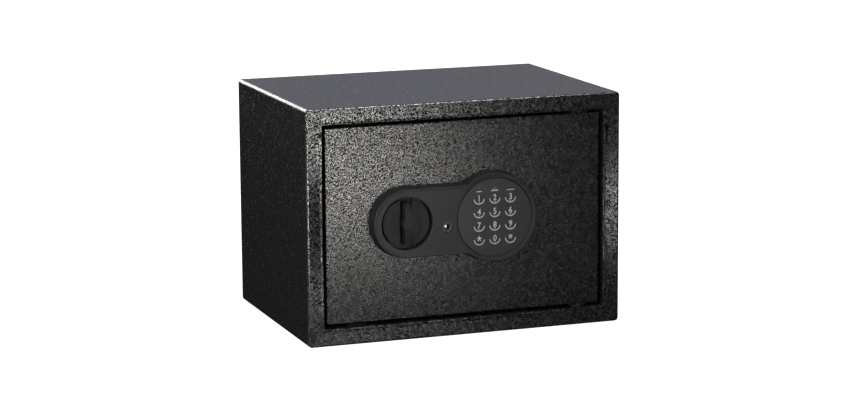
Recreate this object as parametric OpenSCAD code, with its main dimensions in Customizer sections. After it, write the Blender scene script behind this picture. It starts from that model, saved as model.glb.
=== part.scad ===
// In-room electronic safe: steel cabinet, hinged door, knob-driven live bolts, keypad and emergency lock.
// Millimetres. +Z up, the door faces -Y, the origin is on the underside midway between the floor bolt holes.

/* [Cabinet] */
// Width of the cabinet
cab_w = 350; // [350:1:420]
// Height of the cabinet
cab_h = 250; // [250:1:300]
// Depth of the cabinet without the knob
cab_d = 250; // [200:1:350]
// Thickness of the body steel
sheet_t = 2; // [1.5:0.5:3]
// Bend radius of the cabinet's long edges
corner_r = 4; // [3.5:0.5:6]
// Width of the frame face around the door
frame_w = 18; // [17:0.5:20]
// Depth of the folded jamb behind the frame face
jamb_d = 40; // [36:1:50]
// Distance between the two fixing holes in the floor and in the back
fixing_pitch = 200; // [120:10:240]
// Radius of a fixing hole
fixing_r = 5; // [4:0.5:6]

/* [Door] */
// Thickness of the door plate
door_t = 4; // [3:0.5:5]
// Gap between the door and the frame
door_gap = 3.5; // [2.5:0.5:4]
// How far the door face lies behind the frame face
door_recess = 6; // [4:0.5:8]
// Depth of the tray behind the door plate
pan_d = 36; // [36:1:40]
// Thickness of the tray and of the inner cover
pan_t = 1.5; // [1:0.5:2]
// Distance from the door's hinge edge to the hinge pins
hinge_inset = 21.5; // [20:0.5:24]
// Radius of a hinge pin
hinge_pin_r = 4; // [3:0.5:4]

/* [Control panel] */
// Height of the panel in front of the door
panel_t = 12; // [12:0.5:14]
// Radius of the panel's small end, around the knob
panel_small_r = 38; // [37:0.5:40]
// Radius of the panel's large end, around the keypad
panel_large_r = 49; // [48:0.5:52]
// Radius of the blend between neck and large end
panel_blend_r = 10; // [6:1:14]
// Knob centre, to the left of the middle
knob_x = -67.7; // [-70:0.1:-66]
// Keypad centre, to the right of the middle
keypad_x = 30.2; // [28:0.1:32]
// Radius of the keypad disc
keypad_r = 42; // [41.5:0.1:42.5]
// Distance between key columns
key_pitch_x = 17.65; // [16:0.05:18]
// Distance between key rows
key_pitch_z = 14.5; // [14.2:0.05:15]
// Radius of a key
key_r = 6.4; // [5.5:0.1:6.5]

/* [Lock work] */
// Radius of a live bolt
bolt_r = 9; // [7:0.5:9]
// Distance between the two live bolts
bolt_pitch = 60; // [56:1:64]
// Radius at which the crank pin turns
crank_r = 14; // [13:0.5:15]
// Angle of the crank pin from the vertical at either end of its turn
crank_angle = 35; // [30:1:38]
// Radius of the knob's shaft
shaft_r = 5; // [4:0.5:5]

/* [Hidden] */
$fn = 64;

// Clearances
running = 0.05;
slip = 0.02;
over = 1;

// Planes across the depth, from the front of the knob to the back of the cabinet
front_y = -cab_d / 2;
back_y = cab_d / 2;
door_y = front_y + door_recess;
door_back_y = door_y + door_t;
cover_y = door_back_y + pan_d;
cover_back_y = cover_y + pan_t;
panel_y = door_y - panel_t;

// Frame opening and door outline
mid_z = cab_h / 2;
open_w = cab_w - 2 * frame_w;
open_h = cab_h - 2 * frame_w;
door_w = open_w - 2 * door_gap;
door_h = open_h - 2 * door_gap;
jamb_left = -open_w / 2;

// Hinge
hinge_x = door_w / 2 - hinge_inset;
hinge_y = door_back_y + hinge_pin_r;
bush_r = 6;
bush_collar_r = 8;
bush_collar_t = 1.5;
bush_len = 6;
block_half_w = 10;
block_d = 14;
block_len = 28;

// Tray behind the door plate
pan_left = -door_w / 2 + 7.5;
pan_right = hinge_x - 16;
pan_low = mid_z - 93;
pan_high = mid_z + 93;
pan_flange = 10;
cover_lip = 2;
cover_screw_r = 2;
cover_screw_x = [pan_left + 6, (pan_left + pan_right) / 2, pan_right - 6];
cover_screw_at = [for (x = cover_screw_x, z = [pan_low + 6, pan_high - 6]) [x, z]];

// Control panel
panel_wall = 2.5;
panel_draft = 1.6;
knob_z = mid_z;
keys_z = mid_z - 1;
pocket_r = 28;
pocket_floor_y = panel_y + 10;
pocket_floor_t = 2;
ledge_w = 3;
keypad_y = panel_y + 1.5;
plate_t = 2;
ledge_y = keypad_y + plate_t;
ledge_t = 2;
blend_x = keypad_x - sqrt(pow(panel_large_r + panel_blend_r, 2) - pow(panel_small_r + panel_blend_r, 2));
boss_r = 3.2;
panel_screw_r = 1.5;
neck_screw_x = -26;
neck_screw_dz = 25.5;
ring_screw_dz = panel_large_r - 6;
panel_screw_at = [
    [neck_screw_x, mid_z - neck_screw_dz],
    [neck_screw_x, mid_z + neck_screw_dz],
    [keypad_x, mid_z - ring_screw_dz],
    [keypad_x, mid_z + ring_screw_dz]
];

// Keypad
key_gap = 0.15;
key_proud = 0.4;
key_flange_r = 7;
key_flange_t = 0.6;
key_flange_y = ledge_y + 0.1;
mat_y = ledge_y + 1.3;
mat_t = 1.2;
mat_r = keypad_r - ledge_w - 1;
board_y = mat_y + mat_t;
board_t = 1.6;
led_r = 0.75;
led_z = mid_z + 32.2;

// Knob
disc_r = 26;
disc_y = panel_y + 4;
disc_back_y = pocket_floor_y - 0.3;
scoop_r = 18.5;
scoop_edge_depth = 0.8;
scoop_depth = 4.6;
grip_w = 7.7;
grip_len = 48;
grip_y = disc_y - 7.7;
hub_r = 5.8;
shaft_y = disc_y - 2;
shaft_nose_r = 4;
shaft_end_y = door_back_y + 14.5;
shaft_bush_r = 8;

// Bolt work
bolt_y = door_back_y + 16;
bolt_zs = [mid_z - bolt_pitch / 2, mid_z + bolt_pitch / 2];
bolt_throw = 2 * crank_r * sin(crank_angle);
bolt_tip_x = -door_w / 2 + 3.5;
bolt_end_x = bolt_tip_x + 38;
bolt_screw_r = 3;
strike_half = bolt_r + 1;
carriage_y = door_back_y + 5;
carriage_t = 3;
carriage_back_y = carriage_y + carriage_t;
carriage_right = knob_x + 28;
flange_back_y = bolt_y + bolt_r + 2;
crank_y = carriage_back_y + 2;
crank_t = 4;
crank_pin_r = 3;
pin_play = 0.35;
pin_x = knob_x + crank_r * sin(crank_angle);
pin_z = knob_z + crank_r * cos(crank_angle);
guide_r = 3;
guide_at = [[knob_x - 30, mid_z - 17], [knob_x - 30, mid_z + 17], [knob_x + 4, mid_z - 26]];

// Solenoid
sol_x = knob_x - 2.3;
sol_y = door_back_y + 13;
sol_low = mid_z - 87;
sol_high = sol_low + 34;
sol_half_w = 12;
sol_half_d = 11;
coil_r = 9.5;
coil_pad_y = sol_y + 10.5;
coil_pad_z = sol_low + 9;
sol_screw_xs = [sol_x - 16, sol_x + 16];
sol_screw_z = sol_low + 17;
small_screw_r = 1.5;
plunger_r = 4;
plunger_low = sol_low + 8;
plunger_high = sol_high + 5;
spring_turns = 4;
spring_steps = 18;
spring_sides = 6;
spring_wire_r = 0.4;
spring_r = 3;
spring_low = sol_low + 3 + spring_wire_r;
spring_high = plunger_low - spring_wire_r;
tooth_w = 5;
tooth_x = sol_x + (bolt_throw - tooth_w) / 2;
tooth_low = plunger_high + 2;
arm_low = sol_high + 1;
arm_high = sol_high + 4;
arm_y = sol_y + 1;
arm_d = 4;

// Emergency lock
lock_x = -22.6;
lock_z = mid_z - 6.5;
lock_hole_r = 6;
plug_r = 4;
barrel_r = 7.5;
lock_face_y = panel_y + 2;
lock_collar_y = ledge_y + ledge_t + 0.2;
lock_collar_r = 9.5;
barrel_end_y = door_back_y + 14;
cam_y = barrel_end_y + 1;
cam_t = 2.5;
cam_len = lock_z - arm_high - 1;
cam_half_w = 4.5;

// Battery box
batt_x = 70;
batt_z = mid_z + 33;
box_half_w = 32;
box_half_h = 30;
box_t = 2;
box_y = door_back_y + 15.5;
lip_w = 3;
rail_h = 4;
lip_t = 1.5;
rail_y = cover_back_y + lip_t;
lid_y = rail_y + 0.2;
lid_t = 1.6;
rail_back_y = lid_y + lid_t + 1.2;
cell_r = 7.1;
cell_len = 49;
cell_pitch = 14.7;
cell_y = box_y + box_t + cell_r + 0.1;

// Circuit board and reset switch
pcb_x = [18, 100];
pcb_z = [mid_z - 83, mid_z - 13];
pcb_y = door_back_y + 6;
pcb_screw_at = [for (x = [pcb_x[0] + 5, pcb_x[1] - 5], z = [pcb_z[0] + 5, pcb_z[1] - 5]) [x, z]];
lead_r = 1.1;
lead_sides = 8;
connector_y = pcb_y + 6;
connector_z = pcb_z[1] - 5;
battery_lead = [
    [box_y + 3, batt_z - box_half_h],
    [box_y + 3, batt_z - box_half_h - 5],
    [box_y + 3, pcb_z[1]],
    [connector_y + 4.5, connector_z],
    [connector_y, connector_z]
];
keypad_lead = [
    [keypad_x, board_y + board_t, mid_z - 7],
    [keypad_x, door_back_y + 3, mid_z - 7],
    [keypad_x, connector_y - 1, mid_z - 8.5],
    [keypad_x + 1, connector_y + 3.5, pcb_z[1]],
    [keypad_x + 3, connector_y + 4, connector_z],
    [keypad_x + 3, connector_y, connector_z]
];
coil_lead = [
    [sol_x, coil_pad_y, coil_pad_z],
    [sol_x, coil_pad_y + 3, coil_pad_z],
    [sol_x + 5, coil_pad_y + 5, coil_pad_z - 1],
    [sol_x + 20, coil_pad_y + 3.5, coil_pad_z - 2],
    [pcb_x[0] - 22, sol_y + 2, coil_pad_z],
    [pcb_x[0] - 8, pcb_y + 3, pcb_z[0] + 15],
    [pcb_x[0] - 3, pcb_y + 3, pcb_z[0] + 17],
    [pcb_x[0] + 1, pcb_y + 3, pcb_z[0] + 17]
];
reset_x = 92;
reset_z = mid_z - 25;
reset_r = 4;
reset_body_r = 7;

// ---- helpers ----

// Extrudes an outline drawn in x and z from depth y0 to depth y1
module along_y(y0, y1) {
    translate([0, y1, 0]) rotate([90, 0, 0]) linear_extrude(height = y1 - y0) children();
}

// Cylinders along each axis
module cyl_x(y, z, r, x0, x1) {
    translate([x0, y, z]) rotate([0, 90, 0]) cylinder(h = x1 - x0, r = r);
}

module cyl_y(x, z, r, y0, y1) {
    translate([x, y1, z]) rotate([90, 0, 0]) cylinder(h = y1 - y0, r = r);
}

module cyl_z(x, y, r, z0, z1) {
    translate([x, y, z0]) cylinder(h = z1 - z0, r = r);
}

// Box between two opposite corners
module block(low, high) {
    translate(low) cube(high - low);
}

// Rounded rectangle from its lowest corner to its highest
module plate_outline(low, high, r) {
    translate([low[0] + r, low[1]]) square([high[0] - low[0] - 2 * r, high[1] - low[1]]);
    translate([low[0], low[1] + r]) square([high[0] - low[0], high[1] - low[1] - 2 * r]);
    for (x = [low[0] + r, high[0] - r], z = [low[1] + r, high[1] - r])
        translate([x, z]) circle(r = r);
}

// Draws its children and their mirror image about the cabinet's mid height
module top_and_bottom() {
    children();
    translate([0, 0, cab_h]) mirror([0, 0, 1]) children();
}

// Screw along y: shank from y0 to y1, then a head of height head_t
module screw_y(x, z, r, y0, y1, head_r, head_t) {
    difference() {
        union() {
            cyl_y(x, z, r, y0, y1);
            cyl_y(x, z, head_r, y1, y1 + head_t);
        }
        along_y(y1 + head_t * 0.4, y1 + head_t + over)
            translate([x, z]) {
                square([head_r * 1.3, head_r * 0.3], center = true);
                square([head_r * 0.3, head_r * 1.3], center = true);
            }
    }
}

// ---- cabinet ----

module cabinet_outline(inset) {
    plate_outline([-cab_w / 2 + inset, inset], [cab_w / 2 - inset, cab_h - inset], corner_r - inset);
}

module opening_outline(inset) {
    plate_outline(
        [-open_w / 2 + inset, mid_z - open_h / 2 + inset],
        [open_w / 2 - inset, mid_z + open_h / 2 - inset],
        0.5 + max(0, -inset)
    );
}

module cabinet_wrap() {
    color("#202022")
        difference() {
            along_y(front_y + sheet_t, back_y - sheet_t)
                difference() {
                    cabinet_outline(0);
                    cabinet_outline(sheet_t);
                }
            for (x = [-fixing_pitch / 2, fixing_pitch / 2])
                cyl_z(x, 0, fixing_r, -over, sheet_t + over);
        }
}

module front_frame() {
    color("#242425")
        difference() {
            union() {
                along_y(front_y, front_y + sheet_t) cabinet_outline(0);
                along_y(front_y, front_y + jamb_d) opening_outline(-sheet_t);
            }
            along_y(front_y - over, front_y + jamb_d + over) opening_outline(0);
            for (z = bolt_zs)
                block(
                    [jamb_left - sheet_t - over, bolt_y - strike_half, z - strike_half],
                    [jamb_left + over, bolt_y + strike_half, z + strike_half]
                );
            top_and_bottom()
                cyl_z(hinge_x, hinge_y, bush_r, frame_w - sheet_t - over, frame_w + over);
        }
}

module back_panel() {
    color("#1e1e20")
        difference() {
            along_y(back_y - sheet_t, back_y) cabinet_outline(0);
            for (x = [-fixing_pitch / 2, fixing_pitch / 2])
                cyl_y(x, mid_z, fixing_r, back_y - sheet_t - over, back_y + over);
        }
}

module floor_mat() {
    mat_side = cab_w / 2 - sheet_t - 2;
    color("#303033")
        difference() {
            block([-mat_side, front_y + jamb_d + 5, sheet_t], [mat_side, back_y - sheet_t - 2, sheet_t + 2]);
            for (x = [-fixing_pitch / 2, fixing_pitch / 2])
                cyl_z(x, 0, fixing_r + 5, sheet_t - over, sheet_t + 3);
        }
}

module hinge_bushes() {
    color("#b08d4a")
        top_and_bottom()
            difference() {
                union() {
                    cyl_z(hinge_x, hinge_y, bush_r, frame_w - bush_len, frame_w);
                    cyl_z(hinge_x, hinge_y, bush_collar_r, frame_w, frame_w + bush_collar_t);
                }
                cyl_z(hinge_x, hinge_y, hinge_pin_r + running, 0, mid_z);
            }
}

module door_stops() {
    stop_x = -door_w / 2 + 25;
    color("#242425")
        top_and_bottom()
            block([stop_x, door_back_y + 0.3, frame_w], [stop_x + 20, door_back_y + 3.3, frame_w + 6]);
}

// ---- door shell ----

module door_outline(inset) {
    plate_outline(
        [-door_w / 2 + inset, mid_z - door_h / 2 + inset],
        [door_w / 2 - inset, mid_z + door_h / 2 - inset],
        1.5
    );
}

module door_plate() {
    color("#242425")
        difference() {
            along_y(door_y, door_back_y) door_outline(0);
            cyl_y(knob_x, knob_z, shaft_bush_r + slip, door_y - over, door_back_y + over);
            cyl_y(lock_x, lock_z, barrel_r + slip, door_y - over, door_back_y + over);
            cyl_y(keypad_x, mid_z - 7, 5, door_y - over, door_back_y + over);
            for (p = panel_screw_at)
                cyl_y(p[0], p[1], panel_screw_r + 0.2, door_y - over, door_back_y + over);
            for (x = sol_screw_xs)
                cyl_y(x, sol_screw_z, small_screw_r + slip, door_y + 1, door_back_y + over);
        }
}

module pan_outline(inset, r) {
    plate_outline([pan_left + inset, pan_low + inset], [pan_right - inset, pan_high - inset], r);
}

module door_pan() {
    color("#2a2a2b")
        difference() {
            along_y(door_back_y, cover_y) pan_outline(0, 4);
            along_y(door_back_y - over, cover_y - pan_t) pan_outline(pan_t, 4 - pan_t);
            along_y(cover_y - pan_t - over, cover_y + over) pan_outline(pan_flange, 2);
            for (z = bolt_zs)
                cyl_x(bolt_y, z, bolt_r + running, pan_left - over, pan_left + pan_t + over);
            for (p = cover_screw_at)
                cyl_y(p[0], p[1], cover_screw_r + slip, cover_y - pan_t - over, cover_y + over);
        }
}

module inner_cover() {
    color("#2a2a2b")
        difference() {
            along_y(cover_y, cover_back_y) pan_outline(-cover_lip, 4);
            block(
                [batt_x - box_half_w - 0.2, cover_y - over, batt_z - box_half_h - 0.2],
                [batt_x + box_half_w + 0.2, cover_back_y + over, batt_z + box_half_h + 0.2]
            );
            cyl_y(reset_x, reset_z, reset_body_r + 0.1, cover_y - over, cover_back_y + over);
            for (p = cover_screw_at)
                cyl_y(p[0], p[1], cover_screw_r + 0.2, cover_y - over, cover_back_y + over);
        }
}

module inner_cover_screws() {
    color("#8a8a8c")
        for (p = cover_screw_at)
            screw_y(p[0], p[1], cover_screw_r, cover_y - 5, cover_back_y, 3.8, 2.3);
}

module hinge_blocks() {
    block_low = frame_w + bush_collar_t + 0.2;
    color("#2a2a2b")
        top_and_bottom()
            difference() {
                block(
                    [hinge_x - block_half_w, door_back_y, block_low],
                    [hinge_x + block_half_w, door_back_y + block_d, block_low + block_len]
                );
                cyl_z(hinge_x, hinge_y, hinge_pin_r + slip, 0, mid_z);
            }
}

module hinge_pins() {
    color("#9a9a9c")
        top_and_bottom()
            cyl_z(hinge_x, hinge_y, hinge_pin_r, frame_w - bush_len - 1, frame_w + block_len);
}

// ---- control panel ----

// Outline of the panel, a small and a large circle joined by a neck with blended corners
module panel_outline(inset) {
    small_r = panel_small_r - inset;
    large_r = panel_large_r - inset;
    blend_r = panel_blend_r + inset;
    translate([knob_x, mid_z]) circle(r = small_r);
    translate([keypad_x, mid_z]) circle(r = large_r);
    translate([knob_x, mid_z - small_r]) square([blend_x - knob_x, 2 * small_r]);
    for (side = [-1, 1])
        translate([0, mid_z])
            difference() {
                polygon([
                    [blend_x, 0],
                    [blend_x, side * (small_r + blend_r)],
                    [
                        keypad_x + (blend_x - keypad_x) * large_r / (large_r + blend_r),
                        side * (small_r + blend_r) * large_r / (large_r + blend_r)
                    ],
                    [keypad_x, 0]
                ]);
                translate([blend_x, side * (small_r + blend_r)]) circle(r = blend_r);
            }
}

module control_panel() {
    color("#39393a")
        difference() {
            union() {
                difference() {
                    union() {
                        along_y(door_y - panel_t / 2, door_y) panel_outline(0);
                        along_y(panel_y + 2, door_y - panel_t / 2) panel_outline(panel_draft / 2);
                        along_y(panel_y, panel_y + 2) panel_outline(panel_draft);
                    }
                    along_y(panel_y + panel_wall, door_y + over) panel_outline(panel_draft + panel_wall);
                }
                cyl_y(knob_x, knob_z, pocket_r + panel_wall, panel_y, pocket_floor_y + pocket_floor_t);
                cyl_y(keypad_x, mid_z, keypad_r + ledge_w, panel_y, ledge_y + ledge_t);
                cyl_y(lock_x, lock_z, lock_hole_r + 2, panel_y, panel_y + 4);
                for (p = panel_screw_at)
                    cyl_y(p[0], p[1], boss_r, panel_y + 1, door_y);
            }
            cyl_y(knob_x, knob_z, pocket_r, panel_y - over, pocket_floor_y);
            cyl_y(knob_x, knob_z, shaft_bush_r + 0.4, panel_y, door_y + over);
            cyl_y(keypad_x, mid_z, keypad_r + 0.1, panel_y - over, ledge_y);
            cyl_y(keypad_x, mid_z, keypad_r - ledge_w, panel_y, ledge_y + ledge_t + over);
            cyl_y(lock_x, lock_z, lock_hole_r, panel_y - over, door_y);
            for (p = panel_screw_at)
                cyl_y(p[0], p[1], panel_screw_r + slip, door_y - 4.5, door_y + over);
        }
}

module panel_screws() {
    color("#8a8a8c")
        for (p = panel_screw_at)
            screw_y(p[0], p[1], panel_screw_r, door_y - 4, door_back_y, 3, 2);
}

// ---- keypad ----

// Centre of the key in a column, 0 to 2 from the left, and a row, 0 to 3 from the top
function key_at(column, row) = [
    keypad_x + (column - 1) * key_pitch_x,
    keys_z + (1.5 - row) * key_pitch_z
];

module keypad_plate() {
    color("#3e3e40")
        difference() {
            cyl_y(keypad_x, mid_z, keypad_r - 0.15, keypad_y, ledge_y);
            for (column = [0:2], row = [0:3])
                cyl_y(
                    key_at(column, row)[0], key_at(column, row)[1], key_r + key_gap,
                    keypad_y - over, ledge_y + over
                );
            for (column = [0:2])
                cyl_y(key_at(column, 0)[0], led_z, led_r + slip, keypad_y - over, ledge_y + over);
        }
}

module key_cap(column, row) {
    p = key_at(column, row);
    color("#404042") {
        cyl_y(p[0], p[1], key_r, keypad_y - key_proud, key_flange_y);
        cyl_y(p[0], p[1], key_flange_r, key_flange_y, key_flange_y + key_flange_t);
    }
}

module key_1() { key_cap(0, 0); }
module key_2() { key_cap(1, 0); }
module key_3() { key_cap(2, 0); }
module key_4() { key_cap(0, 1); }
module key_5() { key_cap(1, 1); }
module key_6() { key_cap(2, 1); }
module key_7() { key_cap(0, 2); }
module key_8() { key_cap(1, 2); }
module key_9() { key_cap(2, 2); }
module key_star() { key_cap(0, 3); }
module key_0() { key_cap(1, 3); }
module key_hash() { key_cap(2, 3); }

module keypad_mat() {
    color("#5a5a5c")
        difference() {
            cyl_y(keypad_x, mid_z, mat_r, mat_y, mat_y + mat_t);
            for (column = [0:2])
                cyl_y(key_at(column, 0)[0], led_z, led_r + 0.4, mat_y - over, mat_y + mat_t + over);
        }
}

module keypad_board() {
    color("#2f6b3c") cyl_y(keypad_x, mid_z, mat_r, board_y, board_y + board_t);
}

module indicator_leds() {
    color("#d8d8d8")
        for (column = [0:2])
            cyl_y(key_at(column, 0)[0], led_z, led_r, keypad_y - 0.1, board_y);
}

// ---- knob and crank ----

// Finger scoop to the right of the grip, deepest beside it
module finger_scoop() {
    intersection() {
        cyl_y(knob_x, knob_z, scoop_r, disc_y - over, disc_back_y);
        translate([knob_x, 0, knob_z - scoop_r])
            linear_extrude(height = 2 * scoop_r)
                polygon([
                    [grip_w / 2, disc_y - 2],
                    [grip_w / 2, disc_y + scoop_depth],
                    [scoop_r, disc_y + scoop_edge_depth],
                    [scoop_r, disc_y - 2]
                ]);
    }
}

module knob() {
    color("#39393a")
        difference() {
            union() {
                difference() {
                    cyl_y(knob_x, knob_z, disc_r, disc_y, disc_back_y);
                    finger_scoop();
                    translate([2 * knob_x, 0, 0]) mirror([1, 0, 0]) finger_scoop();
                }
                block(
                    [knob_x - grip_w / 2, grip_y, knob_z - grip_len / 2],
                    [knob_x + grip_w / 2, disc_back_y, knob_z + grip_len / 2]
                );
                cyl_y(knob_x, knob_z, hub_r, grip_y, disc_back_y);
            }
            cyl_y(knob_x, knob_z, shaft_nose_r + slip, shaft_y, disc_back_y + over);
        }
}

module knob_shaft() {
    color("#9a9a9c")
        difference() {
            union() {
                cyl_y(knob_x, knob_z, shaft_nose_r, shaft_y, disc_back_y);
                cyl_y(knob_x, knob_z, shaft_r, disc_back_y, shaft_end_y);
            }
            cyl_y(knob_x, knob_z, 2 + slip, shaft_end_y - 9, shaft_end_y + over);
        }
}

module shaft_bush() {
    color("#b08d4a")
        difference() {
            union() {
                cyl_y(knob_x, knob_z, shaft_bush_r, door_y - 1.9, door_back_y);
                cyl_y(knob_x, knob_z, 10.5, door_back_y, carriage_y - 1);
            }
            cyl_y(knob_x, knob_z, shaft_r + running, door_y - 3, carriage_y);
        }
}

module crank() {
    color("#8a8a8c")
        difference() {
            union() {
                cyl_y(knob_x, knob_z, 9, crank_y, crank_y + crank_t);
                translate([knob_x, 0, knob_z])
                    rotate([0, crank_angle, 0])
                        block([-5, crank_y, 0], [5, crank_y + crank_t, crank_r]);
                cyl_y(pin_x, pin_z, crank_pin_r + 2, crank_y, crank_y + crank_t);
            }
            cyl_y(knob_x, knob_z, shaft_r + slip, crank_y - over, crank_y + crank_t + over);
            cyl_y(pin_x, pin_z, crank_pin_r + slip, crank_y - over, crank_y + crank_t + over);
        }
}

module crank_pin() {
    color("#9a9a9c") cyl_y(pin_x, pin_z, crank_pin_r, carriage_y - 0.7, crank_y + crank_t);
}

module crank_screw() {
    color("#8a8a8c") screw_y(knob_x, knob_z, 2, shaft_end_y - 8, shaft_end_y, 6, 2.4);
}

// ---- bolt work ----

// Slot in the carriage for a post or shaft of radius r at x and z, as long as the throw
module travel_slot(x, z, r) {
    along_y(carriage_y - over, carriage_back_y + over) {
        translate([x, z - r]) square([bolt_throw, 2 * r]);
        for (dx = [0, bolt_throw])
            translate([x + dx, z]) circle(r = r);
    }
}

module bolt_carriage() {
    carriage_low = mid_z - 37;
    color("#8a8a8c")
        difference() {
            union() {
                block([bolt_end_x, carriage_y, carriage_low], [carriage_right, carriage_back_y, mid_z + 37]);
                block([bolt_end_x, carriage_y, mid_z - 41], [bolt_end_x + 3, flange_back_y, mid_z + 41]);
                block(
                    [tooth_x, carriage_y, tooth_low],
                    [tooth_x + tooth_w, carriage_back_y + 3, carriage_low + 2]
                );
            }
            travel_slot(knob_x, knob_z, shaft_r + 0.5);
            for (p = guide_at)
                travel_slot(p[0], p[1], guide_r + 0.15);
            block(
                [pin_x - crank_pin_r - pin_play, carriage_y - over, pin_z - crank_pin_r - 0.5],
                [
                    pin_x + crank_pin_r + pin_play, carriage_back_y + over,
                    knob_z + crank_r + crank_pin_r + 0.5
                ]
            );
            for (z = bolt_zs)
                cyl_x(bolt_y, z, bolt_screw_r + slip, bolt_end_x - over, bolt_end_x + 4);
        }
}

module live_bolts() {
    chamfer = 1.5;
    color("#c9c9cc")
        for (z = bolt_zs)
            difference() {
                union() {
                    translate([bolt_tip_x, bolt_y, z])
                        rotate([0, 90, 0])
                            cylinder(h = chamfer, r1 = bolt_r - chamfer, r2 = bolt_r);
                    cyl_x(bolt_y, z, bolt_r, bolt_tip_x + chamfer, bolt_end_x);
                }
                cyl_x(bolt_y, z, bolt_screw_r + slip, bolt_end_x - 17, bolt_end_x + over);
            }
}

module bolt_screws() {
    color("#8a8a8c")
        for (z = bolt_zs) {
            cyl_x(bolt_y, z, bolt_screw_r, bolt_end_x - 16, bolt_end_x + 3);
            cyl_x(bolt_y, z, 5, bolt_end_x + 3, bolt_end_x + 6.5);
        }
}

module carriage_guides() {
    color("#9a9a9c")
        for (p = guide_at) {
            cyl_y(p[0], p[1], guide_r + 2.5, door_back_y, carriage_y - 0.2);
            cyl_y(p[0], p[1], guide_r, carriage_y - 0.2, carriage_back_y + 0.2);
            cyl_y(p[0], p[1], guide_r + 2.5, carriage_back_y + 0.2, carriage_back_y + 1.4);
        }
}

// ---- solenoid ----

module solenoid_frame() {
    color("#9a9a9c")
        difference() {
            union() {
                block(
                    [sol_x - sol_half_w, sol_y - sol_half_d, sol_low],
                    [sol_x + sol_half_w, sol_y + sol_half_d, sol_high]
                );
                block([sol_x - 20, door_back_y, sol_low], [sol_x + 20, door_back_y + 2, sol_high]);
            }
            block(
                [sol_x - sol_half_w + 2, sol_y - sol_half_d - 0.01, sol_low + 2],
                [sol_x + sol_half_w - 2, sol_y + sol_half_d + over, sol_high - 2]
            );
            cyl_z(sol_x, sol_y, plunger_r + 0.3, sol_high - 3, sol_high + over);
            for (x = sol_screw_xs)
                cyl_y(x, sol_screw_z, small_screw_r + slip, door_back_y - over, door_back_y + 3);
        }
}

module solenoid_coil() {
    color("#a8642a")
        difference() {
            union() {
                cyl_z(sol_x, sol_y, coil_r, sol_low + 2, sol_high - 2);
                block(
                    [sol_x - 4, sol_y + coil_r - 3, coil_pad_z - 3],
                    [sol_x + 4, coil_pad_y, coil_pad_z + 3]
                );
            }
            cyl_z(sol_x, sol_y, plunger_r + 0.1, sol_low + 3, sol_high);
        }
}

module solenoid_plunger() {
    color("#c9c9cc")
        difference() {
            union() {
                cyl_z(sol_x, sol_y, plunger_r, plunger_low, plunger_high - 1);
                translate([sol_x, sol_y, plunger_high - 1])
                    cylinder(h = 1, r1 = plunger_r, r2 = plunger_r - 1);
            }
            block([sol_x - 6, arm_y, arm_low], [sol_x + 6, arm_y + arm_d, arm_high]);
        }
}

// Point j of ring i on the coil spring under the plunger, compressed, along a helix
function spring_point(i, j) =
    let (
        turn = 360 * i / spring_steps,
        around = 360 * j / spring_sides,
        reach = spring_r + spring_wire_r * cos(around),
        rise = (spring_high - spring_low) * i / (spring_turns * spring_steps)
    )
    [sol_x + reach * cos(turn), sol_y + reach * sin(turn), spring_low + rise + spring_wire_r * sin(around)];

module plunger_spring() {
    rings = spring_turns * spring_steps;
    color("#b8b8ba")
        polyhedron(
            points = [for (i = [0:rings], j = [0:spring_sides - 1]) spring_point(i, j)],
            faces = concat(
                [
                    for (i = [0:rings - 1], j = [0:spring_sides - 1])
                        let (k = (j + 1) % spring_sides, a = i * spring_sides, b = a + spring_sides)
                        [a + j, a + k, b + k, b + j]
                ],
                [[for (j = [spring_sides - 1:-1:0]) j]],
                [[for (j = [0:spring_sides - 1]) rings * spring_sides + j]]
            )
        );
}

module release_arm() {
    color("#8a8a8c")
        block([sol_x - 5, arm_y, arm_low], [lock_x + 9, arm_y + arm_d, arm_high]);
}

// ---- emergency lock ----

module lock_cylinder() {
    color("#c9c9cc")
        difference() {
            union() {
                cyl_y(lock_x, lock_z, lock_hole_r - 0.3, lock_face_y, lock_collar_y);
                cyl_y(lock_x, lock_z, lock_collar_r, lock_collar_y, door_y);
                cyl_y(lock_x, lock_z, barrel_r, door_y, barrel_end_y);
            }
            cyl_y(lock_x, lock_z, plug_r + running, lock_face_y - over, barrel_end_y + over);
        }
}

module lock_nut() {
    color("#9a9a9c")
        difference() {
            translate([lock_x, door_back_y + 4, lock_z])
                rotate([90, 0, 0])
                    cylinder(h = 4, r = 11.5, $fn = 6);
            cyl_y(lock_x, lock_z, barrel_r + slip, door_back_y - over, door_back_y + 5);
        }
}

module lock_plug() {
    color("#c9c9cc")
        difference() {
            cyl_y(lock_x, lock_z, plug_r, lock_face_y + 0.4, cam_y + cam_t);
            block([lock_x - 0.8, lock_face_y, lock_z - 3], [lock_x + 0.8, lock_face_y + 16, lock_z + 3]);
            cyl_y(lock_x, lock_z, 1.5 + slip, cam_y - 6, cam_y + cam_t + over);
        }
}

module lock_cam() {
    color("#9a9a9c")
        difference() {
            union() {
                cyl_y(lock_x, lock_z, 7, cam_y, cam_y + cam_t);
                block(
                    [lock_x, cam_y, lock_z - cam_half_w],
                    [lock_x + cam_len, cam_y + cam_t, lock_z + cam_half_w]
                );
            }
            cyl_y(lock_x, lock_z, plug_r + slip, cam_y - over, cam_y + cam_t + over);
        }
}

module cam_screw() {
    color("#8a8a8c") screw_y(lock_x, lock_z, 1.5, cam_y - 5, cam_y + cam_t, 5.5, 2);
}

// ---- electronics ----

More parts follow.
